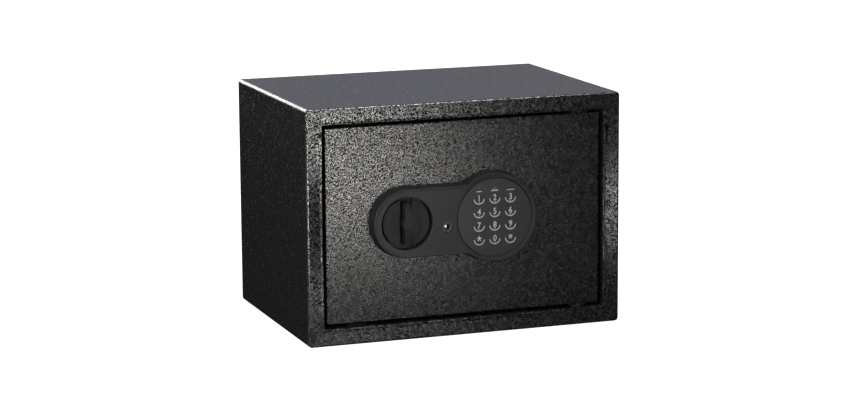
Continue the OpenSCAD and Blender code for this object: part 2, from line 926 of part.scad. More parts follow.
module main_board() {
    color("#2f6b3c")
        difference() {
            union() {
                block([pcb_x[0], pcb_y, pcb_z[0]], [pcb_x[1], pcb_y + board_t, pcb_z[1]]);
                block([pcb_x[0] + 10, pcb_y, pcb_z[1] - 9], [pcb_x[0] + 24, pcb_y + 6, pcb_z[1] - 2]);
                block([batt_x - 6, pcb_y, pcb_z[1] - 9], [batt_x + 4, pcb_y + 6, pcb_z[1] - 2]);
                block([pcb_x[0] + 1, pcb_y, pcb_z[0] + 12], [pcb_x[0] + 8, pcb_y + 6, pcb_z[0] + 22]);
                block([50, pcb_y, pcb_z[0] + 26], [72, pcb_y + 3.5, pcb_z[0] + 40]);
                block([78, pcb_y, pcb_z[0] + 12], [88, pcb_y + 4.5, pcb_z[0] + 22]);
                cyl_y(36, pcb_z[0] + 24, 4, pcb_y, pcb_y + 7);
            }
            for (p = pcb_screw_at)
                cyl_y(p[0], p[1], 1.7, pcb_y - over, pcb_y + board_t + over);
        }
}

module board_standoffs() {
    color("#c0a860")
        for (p = pcb_screw_at)
            difference() {
                cyl_y(p[0], p[1], 3, door_back_y, pcb_y);
                cyl_y(p[0], p[1], small_screw_r + slip, door_back_y + 0.8, pcb_y + over);
            }
}

// The same screw holds the circuit board and the solenoid
module small_screw(x, z, seat_y) {
    screw_y(x, z, small_screw_r, seat_y - 4.5, seat_y, 2.8, 2);
}

module small_screws() {
    color("#8a8a8c") {
        for (p = pcb_screw_at)
            small_screw(p[0], p[1], pcb_y + board_t);
        for (x = sol_screw_xs)
            small_screw(x, sol_screw_z, door_back_y + 2);
    }
}

// Unit vector along v
function unit(v) = v / norm(v);

// Direction of a route at its point i
function heading(route, i) = unit(route[min(i + 1, len(route) - 1)] - route[max(i - 1, 0)]);

// Insulated lead through a list of points, swept as one tube
module lead(route) {
    rings = len(route);
    side_hint = [0.31, 0.17, 0.94];
    color("#7a2020")
        polyhedron(
            points = [
                for (i = [0:rings - 1], j = [0:lead_sides - 1])
                    let (
                        across = unit(cross(heading(route, i), side_hint)),
                        up = cross(heading(route, i), across),
                        around = 360 * j / lead_sides
                    )
                    route[i] + lead_r * (across * cos(around) + up * sin(around))
            ],
            faces = concat(
                [
                    for (i = [0:rings - 2], j = [0:lead_sides - 1])
                        let (k = (j + 1) % lead_sides, a = i * lead_sides, b = a + lead_sides)
                        [a + j, b + j, b + k, a + k]
                ],
                [[for (j = [0:lead_sides - 1]) j]],
                [[for (j = [lead_sides - 1:-1:0]) (rings - 1) * lead_sides + j]]
            )
        );
}

// Each lead leaves its terminal and meets the next one square to the face
module wiring() {
    lead([for (p = battery_lead) [batt_x - 1, p[0], p[1]]]);
    lead(keypad_lead);
    lead(coil_lead);
}

// ---- batteries ----

module battery_box() {
    low = [batt_x - box_half_w, batt_z - box_half_h];
    high = [batt_x + box_half_w, batt_z + box_half_h];
    color("#2c2c2e")
        difference() {
            union() {
                block([low[0], box_y, low[1]], [high[0], rail_y, high[1]]);
                block(
                    [low[0] - lip_w, cover_back_y, low[1] - rail_h],
                    [high[0] + lip_w, rail_back_y, high[1] + rail_h]
                );
            }
            block(
                [low[0] + box_t, box_y + box_t, low[1] + box_t],
                [high[0] - box_t, rail_y + over, high[1] - box_t]
            );
            block(
                [low[0] - lip_w - over, rail_y, low[1] - 1],
                [high[0] + 1.2, lid_y + lid_t + 0.2, high[1] + 1]
            );
            block(
                [low[0] - lip_w - over, rail_y, low[1] + 1],
                [high[0] + 1.2, rail_back_y + over, high[1] - 1]
            );
        }
}

// One cell upright, and the next one upside down
module each_cell() {
    for (i = [0:3])
        translate([batt_x + (i - 1.5) * cell_pitch, cell_y, batt_z])
            rotate([i % 2 == 0 ? 0 : 180, 0, 0])
                children();
}

module batteries() {
    color("#6a7078")
        each_cell() {
            translate([0, 0, -cell_len / 2]) cylinder(h = cell_len, r = cell_r);
            cylinder(h = cell_len / 2 + 1, r = 2.7);
        }
}

module battery_contacts() {
    wall_z = box_half_h - box_t;
    color("#c9c9cc")
        each_cell() {
            translate([-5, -5, wall_z - 0.6]) cube([10, 10, 0.6]);
            translate([0, 0, cell_len / 2 + 1]) cylinder(h = wall_z - cell_len / 2 - 1, r = 2);
            translate([-5, -5, -wall_z]) cube([10, 10, 0.6]);
            translate([0, 0, -wall_z]) cylinder(h = wall_z - cell_len / 2, r1 = 4, r2 = 2.5);
        }
}

module battery_cover() {
    ribs = 5;
    rib_pitch = 4;
    color("#2c2c2e") {
        block(
            [batt_x - box_half_w - 1, lid_y, batt_z - box_half_h - 0.8],
            [batt_x + box_half_w + 1, lid_y + lid_t, batt_z + box_half_h + 0.8]
        );
        for (i = [0:ribs - 1])
            translate([batt_x - box_half_w + 6 + i * rib_pitch, lid_y, batt_z - 18])
                cube([1.5, lid_t + 1, 36]);
    }
}

// ---- reset switch ----

module reset_switch() {
    color("#2c2c2e")
        difference() {
            union() {
                cyl_y(reset_x, reset_z, reset_body_r, cover_y - 12, cover_back_y);
                cyl_y(reset_x, reset_z, reset_body_r + 1.5, cover_back_y, cover_back_y + 1.5);
            }
            cyl_y(reset_x, reset_z, reset_r + 0.1, cover_y - 11, cover_back_y + 3);
        }
}

module reset_button() {
    color("#b3261e") cyl_y(reset_x, reset_z, reset_r, cover_y - 9, cover_back_y + 3.3);
}

cabinet_wrap();
front_frame();
back_panel();
floor_mat();
hinge_bushes();
door_stops();
door_plate();
door_pan();
inner_cover();
inner_cover_screws();
hinge_blocks();
hinge_pins();
control_panel();
panel_screws();
keypad_plate();
keypad_mat();
keypad_board();
indicator_leds();
key_1();
key_2();
key_3();
key_4();
key_5();
key_6();
key_7();
key_8();
key_9();
key_star();
key_0();
key_hash();
knob();
knob_shaft();
shaft_bush();
crank();
crank_pin();
crank_screw();
bolt_carriage();
live_bolts();
bolt_screws();
carriage_guides();
solenoid_frame();
solenoid_coil();
solenoid_plunger();
plunger_spring();
release_arm();
lock_cylinder();
lock_nut();
lock_plug();
lock_cam();
cam_screw();
main_board();
board_standoffs();
small_screws();
wiring();
battery_box();
battery_contacts();
batteries();
battery_cover();
reset_switch();
reset_button();
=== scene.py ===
"""Looks of the in-room safe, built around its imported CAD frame. Blender 4.5, metres."""

import math

import bmesh
import bpy
from mathutils import Matrix, Vector


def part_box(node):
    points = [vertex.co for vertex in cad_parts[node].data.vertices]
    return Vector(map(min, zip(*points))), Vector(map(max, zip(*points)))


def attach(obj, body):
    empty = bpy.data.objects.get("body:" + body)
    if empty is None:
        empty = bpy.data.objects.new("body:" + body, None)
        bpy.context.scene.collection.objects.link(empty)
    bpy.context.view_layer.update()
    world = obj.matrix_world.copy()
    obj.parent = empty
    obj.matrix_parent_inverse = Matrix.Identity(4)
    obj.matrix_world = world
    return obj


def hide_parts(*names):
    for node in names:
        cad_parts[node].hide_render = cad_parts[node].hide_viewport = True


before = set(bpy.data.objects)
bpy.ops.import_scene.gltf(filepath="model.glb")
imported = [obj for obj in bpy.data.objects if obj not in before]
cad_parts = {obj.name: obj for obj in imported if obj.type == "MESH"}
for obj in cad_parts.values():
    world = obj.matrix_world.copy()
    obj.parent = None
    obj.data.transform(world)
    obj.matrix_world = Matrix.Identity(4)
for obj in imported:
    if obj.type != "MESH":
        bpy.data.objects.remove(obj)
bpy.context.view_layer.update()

MM = 0.001
FINE = 96

# ---------------------------------------------------------------- measures from the frame

frame_low, frame_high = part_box("front_frame")
wrap_low, wrap_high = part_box("cabinet_wrap")
back_low, back_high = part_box("back_panel")
door_low, door_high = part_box("door_plate")
panel_low, panel_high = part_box("control_panel")
plate_low, plate_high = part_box("keypad_plate")
knob_low, knob_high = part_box("knob")
lock_low, lock_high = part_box("lock_cylinder")
plug_low, plug_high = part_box("lock_plug")
bolts_low, bolts_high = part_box("live_bolts")
pins_low, pins_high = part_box("hinge_pins")

CAB_HALF_W = (frame_high.x - frame_low.x) / 2
CAB_HALF_H = (frame_high.z - frame_low.z) / 2
MID_Z = CAB_HALF_H
FRONT_Y = frame_low.y
SHEET = wrap_low.y - frame_low.y
CORNER_R = 4 * MM
FIXING_HALF_PITCH = 100 * MM
FIXING_R = 5 * MM
RAIL_ROLL = 2.4 * MM

DOOR_GAP = 3.5 * MM
DOOR_HALF_W = (door_high.x - door_low.x) / 2
DOOR_HALF_H = (door_high.z - door_low.z) / 2
OPEN_HALF_W = DOOR_HALF_W + DOOR_GAP
OPEN_HALF_H = DOOR_HALF_H + DOOR_GAP
DOOR_Y = door_low.y

KEYPAD_X = (plate_low.x + plate_high.x) / 2
KEYPAD_Y = plate_low.y
KNOB_X = (knob_low.x + knob_high.x) / 2
LOCK_X = (lock_low.x + lock_high.x) / 2
LOCK_Z = (lock_low.z + lock_high.z) / 2
PANEL_Y = panel_low.y
SMALL_R = KNOB_X - panel_low.x
LARGE_R = panel_high.x - KEYPAD_X
BLEND_R = 10 * MM
KEY_NAMES = ["1", "2", "3", "4", "5", "6", "7", "8", "9", "star", "0", "hash"]


# ---------------------------------------------------------------- mesh building

def rounded_rect(half_w, half_h, r, centre=(0.0, 0.0), steps=6):
    """Points (x, z) round a rounded rectangle, anticlockwise from its right side."""
    points = []
    for corner, (sx, sz) in enumerate([(1, 1), (-1, 1), (-1, -1), (1, -1)]):
        for i in range(steps + 1):
            a = math.radians(90 * (corner + i / steps))
            x = centre[0] + sx * (half_w - r) + r * math.cos(a)
            z = centre[1] + sz * (half_h - r) + r * math.sin(a)
            points.append((x, z))
    return points


def circle(x, z, r, steps=FINE):
    """Points (x, z) round a circle, anticlockwise."""
    turns = [math.tau * i / steps for i in range(steps)]
    return [(x + r * math.cos(a), z + r * math.sin(a)) for a in turns]


def arc(x, z, r, start, end, steps):
    """Points (x, z) on an arc between two angles in degrees, both ends included."""
    turns = [math.radians(start + (end - start) * i / steps) for i in range(steps + 1)]
    return [(x + r * math.cos(a), z + r * math.sin(a)) for a in turns]


def round_over(inset, y, r, towards, steps=5):
    """Profile points (inset, y) of a quarter round: from the side at depth y + r to the face at depth y."""
    found = []
    for i in range(steps + 1):
        a = math.radians(90 * i / steps)
        found.append((inset + towards * r * (1 - math.cos(a)), y + r * (1 - math.sin(a))))
    return found


class Shell:
    """A mesh made of rings of points, each ring at one depth y, and of flat fills between rings."""

    def __init__(self):
        self.bm = bmesh.new()

    def ring(self, outline, y):
        return [self.bm.verts.new((x, y, z)) for x, z in outline]

    def skin(self, rings, closed=False):
        pairs = list(zip(rings, rings[1:]))
        if closed:
            pairs.append((rings[-1], rings[0]))
        for a, b in pairs:
            for i in range(len(a)):
                k = (i + 1) % len(a)
                self.bm.faces.new((a[i], a[k], b[k], b[i]))
        return rings

    def loft(self, outline_of, profile, closed=False):
        """One ring for each (inset, y) of the profile, skinned together."""
        return self.skin([self.ring(outline_of(inset), y) for inset, y in profile], closed)

    def fill(self, *rings):
        """A flat face between an outer ring and any hole rings in it."""
        edges = []
        for ring in rings:
            for i in range(len(ring)):
                pair = (ring[i], ring[(i + 1) % len(ring)])
                edges.append(self.bm.edges.get(pair) or self.bm.edges.new(pair))
        bmesh.ops.triangle_fill(self.bm, use_beauty=True, edges=edges)

    def made(self, name):
        bmesh.ops.remove_doubles(self.bm, verts=self.bm.verts, dist=1e-6)
        bmesh.ops.recalc_face_normals(self.bm, faces=self.bm.faces)
        return mesh_object(name, self.bm)


def new_object(name, data):
    obj = bpy.data.objects.new(name, data)
    bpy.context.scene.collection.objects.link(obj)
    return obj


def mesh_object(name, bm):
    """An object holding the finished bmesh."""
    mesh = bpy.data.meshes.new(name)
    bm.to_mesh(mesh)
    bm.free()
    return new_object(name, mesh)


def smooth(obj, angle=32):
    """Smooth shading with sharp edges over the angle, and flat faces kept flat beside small rounds."""
    obj.data.polygons.foreach_set("use_smooth", [True] * len(obj.data.polygons))
    obj.data.set_sharp_from_angle(angle=math.radians(angle))
    weighted = obj.modifiers.new("weighted", "WEIGHTED_NORMAL")
    weighted.keep_sharp = True
    weighted.weight = 90
    return obj


def bake_modifiers(obj):
    """Replaces the mesh by what its modifiers make of it."""
    graph = bpy.context.evaluated_depsgraph_get()
    mesh = bpy.data.meshes.new_from_object(obj.evaluated_get(graph))
    obj.modifiers.clear()
    obj.data = mesh


def combine(obj, tools, operation):
    """Cuts the tools out of obj, or joins them to it, and removes them."""
    for tool in tools:
        change = obj.modifiers.new("boolean", "BOOLEAN")
        change.operation = operation
        change.solver = "EXACT"
        change.object = tool
    bpy.context.view_layer.update()
    bake_modifiers(obj)
    for tool in tools:
        bpy.data.objects.remove(tool)


def rod(name, start, axis, r, length, steps=64):
    """Cylinder from a start point along a unit axis."""
    bm = bmesh.new()
    turn = Vector((0, 0, 1)).rotation_difference(Vector(axis)).to_matrix().to_4x4()
    pose = Matrix.Translation(Vector(start) + Vector(axis) * length / 2) @ turn
    bmesh.ops.create_cone(
        bm, cap_ends=True, segments=steps, radius1=r, radius2=r, depth=length, matrix=pose
    )
    return mesh_object(name, bm)


def prism(name, outline, y0, y1):
    """Solid of one outline between two depths."""
    shell = Shell()
    rings = shell.skin([shell.ring(outline, y0), shell.ring(outline, y1)])
    for ring in rings:
        shell.fill(ring)
    return shell.made(name)


def bevel(obj, width, segments=3, angle=35):
    """Rounds the sharp edges."""
    rounding = obj.modifiers.new("bevel", "BEVEL")
    rounding.width = width
    rounding.segments = segments
    rounding.limit_method = "ANGLE"
    rounding.angle_limit = math.radians(angle)
    rounding.miter_outer = "MITER_ARC"


def place(obj, material, slot, body, *stands_for):
    """Gives a piece its material and body, and hides the CAD nodes that it stands for. The slot argument is
    not used.
    """
    obj.data.materials.clear()
    obj.data.materials.append(material)
    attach(obj, body)
    if stands_for:
        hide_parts(*stands_for)


# ---------------------------------------------------------------- materials

class Paint:
    """A node material under construction, with short calls for the nodes it needs."""

    def __init__(self, name):
        self.material = bpy.data.materials.new(name)
        self.material.use_nodes = True
        self.tree = self.material.node_tree
        self.shader = self.tree.nodes["Principled BSDF"]
        self.place = self.node("ShaderNodeTexCoord").outputs["Object"]

    def node(self, kind, **settings):
        made = self.tree.nodes.new(kind)
        for key, value in settings.items():
            setattr(made, key, value)
        return made

    def link(self, source, target):
        self.tree.links.new(source, target)

    def set(self, **values):
        for key, value in values.items():
            self.shader.inputs[key.replace("_", " ")].default_value = value

    def noise(self, scale, detail=2.0, roughness=0.5, distortion=0.0, stretch=None):
        made = self.node("ShaderNodeTexNoise")
        made.inputs["Scale"].default_value = scale
        made.inputs["Detail"].default_value = detail
        made.inputs["Roughness"].default_value = roughness
        made.inputs["Distortion"].default_value = distortion
        self.link(self.stretched(stretch) if stretch else self.place, made.inputs["Vector"])
        return made.outputs["Fac"]

    def stretched(self, scale):
        made = self.node("ShaderNodeMapping")
        made.inputs["Scale"].default_value = scale
        self.link(self.place, made.inputs["Vector"])
        return made.outputs["Vector"]

    def ramp(self, value, low, high, out_low=0.0, out_high=1.0):
        made = self.node("ShaderNodeMapRange", interpolation_type="SMOOTHSTEP")
        for socket, number in zip(made.inputs[1:5], (low, high, out_low, out_high)):
            socket.default_value = number
        self.link(value, made.inputs["Value"])
        return made.outputs["Result"]

    def colours(self, value, dark, light):
        made = self.node("ShaderNodeMix", data_type="RGBA")
        made.inputs["A"].default_value = (*dark, 1)
        made.inputs["B"].default_value = (*light, 1)
        self.link(value, made.inputs["Factor"])
        self.link(made.outputs["Result"], self.shader.inputs["Base Color"])

    def rough(self, value, low, high):
        self.link(self.ramp(value, 0.3, 0.7, low, high), self.shader.inputs["Roughness"])

    def bump(self, height, distance, strength=1.0):
        made = self.node("ShaderNodeBump")
        made.inputs["Strength"].default_value = strength
        made.inputs["Distance"].default_value = distance
        self.link(height, made.inputs["Height"])
        self.link(made.outputs["Normal"], self.shader.inputs["Normal"])


def hammertone():
    """Black hammertone powder coat: small light blobs on a dark ground."""
    p = Paint("hammertone")
    blobs = p.ramp(p.noise(840, 0.0, 0.5, 0.5), 0.46, 0.55)
    p.bump(blobs, 0.05 * MM, 1.0)
    p.colours(blobs, (0.002, 0.002, 0.0019), (0.20, 0.196, 0.192))
    p.rough(p.noise(160, 2.0), 0.24, 0.30)
    p.set(Metallic=0.85, Specular_IOR_Level=0.25)
    return p.material


def edge_highlight_paint():
    """A lighter and smoother copy of the coat for the outer front edge: a painted highlight, put on the left
    and top edges only.
    """
    p = Paint("edge_highlight_paint")
    highlight_specks = p.ramp(p.noise(700, 0.0, 0.5, 0.5), 0.36, 0.58)
    p.bump(highlight_specks, 0.03 * MM, 1.0)
    p.colours(highlight_specks, (0.06, 0.06, 0.06), (0.62, 0.61, 0.60))
    p.rough(p.noise(160, 2.0), 0.20, 0.26)
    p.set(Metallic=0.85)
    return p.material


def inner_paint():
    """Smoother black powder coat of the parts inside the door."""
    p = Paint("inner_paint")
    p.bump(p.noise(900, 3.0, 0.55), 0.12 * MM, 0.6)
    p.colours(p.noise(40, 3.0), (0.014, 0.014, 0.0145), (0.022, 0.022, 0.0225))
    p.rough(p.noise(200, 2.0), 0.38, 0.5)
    return p.material


def plastic(name, dark, light, rough_low, rough_high, grain=0.03, gloss=0.5):
    """Moulded plastic with a fine spark-eroded texture."""
    p = Paint(name)
    p.bump(p.noise(2600, 3.0, 0.6), grain * MM, 0.6)
    p.colours(p.noise(60, 3.0), dark, light)
    p.rough(p.noise(500, 3.0), rough_low, rough_high)
    p.set(Specular_IOR_Level=gloss)
    return p.material


def metal(name, colour, rough_low, rough_high, grain=(30, 30, 30)):
    """Plated or machined metal with faint drawn marks."""
    p = Paint(name)
    p.set(Metallic=1.0)
    marks = p.noise(60, 4.0, 0.6, 0.0, stretch=grain)
    p.colours(marks, tuple(c * 0.86 for c in colour), colour)
    p.rough(marks, rough_low, rough_high)
    p.bump(marks, 0.01 * MM, 0.5)
    return p.material


def felt():
    p = Paint("felt")
    fibres = p.noise(1800, 4.0, 0.7, 1.5)
    p.bump(fibres, 0.5 * MM, 0.9)
    p.colours(fibres, (0.018, 0.018, 0.02), (0.05, 0.05, 0.054))
    p.set(Roughness=0.95, Sheen_Weight=0.4, Sheen_Roughness=0.5)
    return p.material


def print_ink():
    """White keypad print, slightly uneven."""
    p = Paint("print_ink")
    p.colours(p.noise(900, 2.0), (0.84, 0.84, 0.85), (0.93, 0.93, 0.94))
    p.rough(p.noise(600, 2.0), 0.45, 0.6)
    return p.material


coat = hammertone()
# Painted highlight coat for the outer front edges that face the lamps.
edge_highlight_coat = edge_highlight_paint()
smooth_coat = inner_paint()
panel_plastic = plastic(
    "panel_plastic", (0.030, 0.0292, 0.030), (0.038, 0.0372, 0.038), 0.34, 0.44, 0.05, 0.42
)
knob_plastic = plastic(
    "knob_plastic", (0.027, 0.0264, 0.027), (0.035, 0.0344, 0.035), 0.36, 0.46, 0.05, 0.24
)
keypad_plastic = plastic("keypad_plastic", (0.044, 0.044, 0.046), (0.054, 0.054, 0.056), 0.34, 0.42, 0.02)
inner_plastic = plastic("inner_plastic", (0.015, 0.015, 0.016), (0.024, 0.024, 0.025), 0.4, 0.55, 0.06)
red_plastic = plastic("red_plastic", (0.42, 0.02, 0.015), (0.55, 0.03, 0.02), 0.25, 0.35, 0.02)
mat_rubber = plastic("mat_rubber", (0.10, 0.10, 0.10), (0.14, 0.14, 0.14), 0.6, 0.75, 0.05)
# Black rubber for the door stops, made darker still as painted shade of the door gap they sit in.
gap_shade_rubber = plastic("gap_shade_rubber", (0.004, 0.004, 0.004), (0.007, 0.007, 0.007), 0.75, 0.9, 0.05)
board_green = plastic("board_green", (0.01, 0.09, 0.03), (0.015, 0.13, 0.04), 0.3, 0.4, 0.02)
lens = plastic("lens", (0.16, 0.16, 0.17), (0.22, 0.22, 0.23), 0.2, 0.3, 0.01)
coil_tape = plastic("coil_tape", (0.35, 0.14, 0.03), (0.5, 0.2, 0.05), 0.3, 0.4, 0.05)
lead_pvc = plastic("lead_pvc", (0.3, 0.02, 0.015), (0.4, 0.03, 0.02), 0.4, 0.5, 0.02)
cell_sleeve = plastic("cell_sleeve", (0.10, 0.11, 0.13), (0.14, 0.15, 0.17), 0.25, 0.35, 0.01)
zinc = metal("zinc", (0.60, 0.60, 0.62), 0.28, 0.42, (4, 20, 4))
chrome = metal("chrome", (0.80, 0.80, 0.82), 0.06, 0.14)
satin = metal("satin", (0.38, 0.38, 0.39), 0.2, 0.3)
# Chrome darkened as painted shade: the lock barrel sits in the recessed key hole.
shade_dark_chrome = metal("shade_dark_chrome", (0.10, 0.10, 0.105), 0.3, 0.4)
brass = metal("brass", (0.70, 0.50, 0.22), 0.25, 0.38)
liner = felt()
ink = print_ink()


# ---------------------------------------------------------------- cabinet

def cabinet_ring(inset, r=None):
    return rounded_rect(
        CAB_HALF_W - inset, CAB_HALF_H - inset, r or max(CORNER_R - inset, 0.4 * MM), (0, MID_Z)
    )


def frame_ring(inset):
    """The cabinet outline with extra points along its straight sides."""
    corners = cabinet_ring(inset)
    points = []
    for a, b in zip(corners, corners[1:] + corners[:1]):
        steps = 24 if math.dist(a, b) > 50 * MM else 1
        points += [(a[0] + (b[0] - a[0]) * i / steps, a[1] + (b[1] - a[1]) * i / steps) for i in range(steps)]
    return points


def make_front_frame():
    """Folded frame: face with a proud rim and an inner bead, its side rails rolled in at mid height."""
    edge_r = 1.8 * MM
    bend_r = 1.1 * MM
    dish = 0.35 * MM
    width = CAB_HALF_W - OPEN_HALF_W
    bead_y = FRONT_Y + 0.2 * MM
    jamb_y = frame_high.y
    profile = [(0, FRONT_Y + SHEET)]
    profile += round_over(0, FRONT_Y, edge_r, 1)
    profile += [
        (edge_r + 0.5 * MM, FRONT_Y + 0.04 * MM), (width - 3.4 * MM, FRONT_Y + dish),
        (width - 2.9 * MM, FRONT_Y + dish), (width - 2.2 * MM, bead_y + 0.08 * MM)
    ]
    profile += [(width + inset, y) for inset, y in reversed(round_over(0, bead_y, bend_r, -1))]
    profile += [(width, jamb_y), (width - SHEET, jamb_y), (width - SHEET, FRONT_Y + SHEET)]
    shell = Shell()
    shell.loft(frame_ring, profile, closed=True)
    for vert in shell.bm.verts:
        x, y, z = vert.co
        share = (CAB_HALF_W - abs(x)) / width
        if share < 1.01 and y < FRONT_Y + SHEET + 0.1 * MM:
            along = min(max((OPEN_HALF_H - abs(z - MID_Z)) / 0.10, 0), 1)
            vert.co.y += RAIL_ROLL * share * along ** 2 * (3 - 2 * along)
    obj = shell.made("frame_front")
    tools = []
    bolt_y = (bolts_low.y + bolts_high.y) / 2
    bolt_r = (bolts_high.y - bolts_low.y) / 2
    half = bolt_r + 1 * MM
    for z in (bolts_low.z + bolt_r, bolts_high.z - bolt_r):
        corners = [(-OPEN_HALF_W - 4 * MM, z - half), (-OPEN_HALF_W + 4 * MM, z - half),
                   (-OPEN_HALF_W + 4 * MM, z + half), (-OPEN_HALF_W - 4 * MM, z + half)]
        tools.append(prism("strike", corners, bolt_y - half, bolt_y + half))
    pin = (pins_low + pins_high) / 2
    for z in (MID_Z - OPEN_HALF_H, MID_Z + OPEN_HALF_H):
        tools.append(rod("bush_hole", (pin.x, pin.y, z - 4 * MM), (0, 0, 1), 6 * MM, 8 * MM))
    combine(obj, tools, "DIFFERENCE")
    place(smooth(obj), coat, "body_paint", "cabinet", "front_frame")
    # Painted highlight: the lighter coat goes on the outer front round-over of the left and top edges only,
    # where the lamps catch them.
    obj.data.materials.append(edge_highlight_coat)
    for face in obj.data.polygons:
        x, y, z = face.center
        beside = max(-x - CAB_HALF_W, z - MID_Z - CAB_HALF_H)
        if y < FRONT_Y + 0.95 * edge_r and beside > -0.95 * edge_r:
            face.material_index = 1


def make_wrap():
    """The wrapped body sheet."""
    profile = [
        (0, wrap_low.y), (0, wrap_high.y), (SHEET, wrap_high.y), (SHEET, wrap_low.y)
    ]
    shell = Shell()
    shell.loft(cabinet_ring, profile, closed=True)
    obj = shell.made("wrap")
    holes = [
        rod("hole", (side * FIXING_HALF_PITCH, 0, -2 * MM), (0, 0, 1), FIXING_R, 8 * MM) for side in (-1, 1)
    ]
    combine(obj, holes, "DIFFERENCE")
    place(smooth(obj), coat, "body_paint", "cabinet", "cabinet_wrap")


def make_back():
    """Back plate with softened edges and its two fixing holes."""
    edge_r = 1.2 * MM
    profile = [(0, back_low.y), (0, back_high.y - edge_r)]
    start_y = back_high.y - edge_r
    profile += [(inset, back_high.y + start_y - y) for inset, y in round_over(0, start_y, edge_r, 1)]
    shell = Shell()
    rings = shell.loft(cabinet_ring, profile)
    shell.fill(rings[0])
    shell.fill(rings[-1])
    obj = shell.made("back_plate")
    holes = [
        rod("hole", (side * FIXING_HALF_PITCH, back_low.y - 2 * MM, MID_Z), (0, 1, 0), FIXING_R, 8 * MM)
        for side in (-1, 1)
    ]
    combine(obj, holes, "DIFFERENCE")
    place(smooth(obj), coat, "body_paint", "cabinet", "back_panel")


# ---------------------------------------------------------------- door

def make_door_plate():
    """Door plate with softened edges."""
    edge_r = 1.2 * MM

    def outline(inset):
        return rounded_rect(
            DOOR_HALF_W - inset, DOOR_HALF_H - inset, max(1.5 * MM - inset, 0.3 * MM), (0, MID_Z)
        )

    profile = [(0, door_high.y)] + round_over(0, DOOR_Y, edge_r, 1)
    shell = Shell()
    rings = shell.loft(outline, profile)
    holes = [
        shell.skin([shell.ring(circle(x, z, r, 48), y) for y in (DOOR_Y, door_high.y)])
        for x, z, r in ((KNOB_X, MID_Z, 8.05 * MM), (LOCK_X, LOCK_Z, 7.6 * MM))
    ]
    shell.fill(rings[0], *[h[1] for h in holes])
    shell.fill(rings[-1], *[h[0] for h in holes])
    place(smooth(shell.made("door_sheet")), coat, "body_paint", "door", "door_plate")


def panel_ring(inset, steps=40):
    """The panel's outline: small end, neck, blends and large end."""
    small = SMALL_R - inset
    large = LARGE_R - inset
    blend = BLEND_R + inset
    reach = large + blend
    blend_x = KEYPAD_X - math.sqrt(reach ** 2 - (small + blend) ** 2)
    lean = math.degrees(math.asin((small + blend) / reach))
    points = arc(KEYPAD_X, MID_Z, large, -180 + lean, 180 - lean, 2 * steps)
    points += arc(blend_x, MID_Z + small + blend, blend, -lean, -90, 10)[1:]
    points += arc(KNOB_X, MID_Z, small, 90, 270, steps)
    points += arc(blend_x, MID_Z - small - blend, blend, 90, lean, 10)[:-1]
    return points


def make_panel():
    """Moulded control panel: drafted sides, stepped rim, knob pocket, keypad ring and key hole."""
    draft = 1.3 * MM
    step_at = 3.4 * MM
    step_drop = 0.35 * MM
    rim_r = 1.1 * MM
    face_y = PANEL_Y + step_drop
    profile = [(0, DOOR_Y), (0.1 * MM, DOOR_Y - 0.6 * MM)]
    profile += [(draft + inset, y) for inset, y in round_over(0, PANEL_Y, rim_r, 1)]
    profile += [
        (step_at, PANEL_Y), (step_at + 0.25 * MM, PANEL_Y + 0.08 * MM),
        (step_at + 0.45 * MM, face_y - 0.06 * MM), (step_at + 0.7 * MM, face_y)
    ]
    shell = Shell()
    outer = shell.loft(panel_ring, profile)

    def pocket(x, z, steps, turns):
        return shell.skin([shell.ring(circle(x, z, r, steps), y) for r, y in turns])

    def mouth(r, soft):
        return [(r + soft * (1 - math.sin(a)), face_y + soft * (1 - math.cos(a)))
                for a in (math.radians(90 * i / 4) for i in range(5))]

    pocket_r = 28 * MM
    floor_y = PANEL_Y + 10 * MM
    knob_pocket = pocket(KNOB_X, MID_Z, FINE, mouth(pocket_r, 0.7 * MM) + [
        (pocket_r - 0.2 * MM, floor_y), (8.4 * MM, floor_y), (8.4 * MM, DOOR_Y)
    ])
    ring_r = 42.1 * MM
    ledge_y = plate_high.y
    keypad_pocket = pocket(KEYPAD_X, MID_Z, 2 * FINE, mouth(ring_r, 0.9 * MM) + [
        (ring_r, ledge_y), (39 * MM, ledge_y), (39 * MM, DOOR_Y)
    ])
    key_hole = pocket(LOCK_X, LOCK_Z, 48, mouth(6 * MM, 0.4 * MM) + [(6 * MM, DOOR_Y)])
    shell.fill(outer[-1], knob_pocket[0], keypad_pocket[0], key_hole[0])
    shell.fill(outer[0], knob_pocket[-1], keypad_pocket[-1], key_hole[-1])
    obj = shell.made("panel_moulding")
    place(smooth(obj, 40), panel_plastic, "panel_plastic", "door", "control_panel")


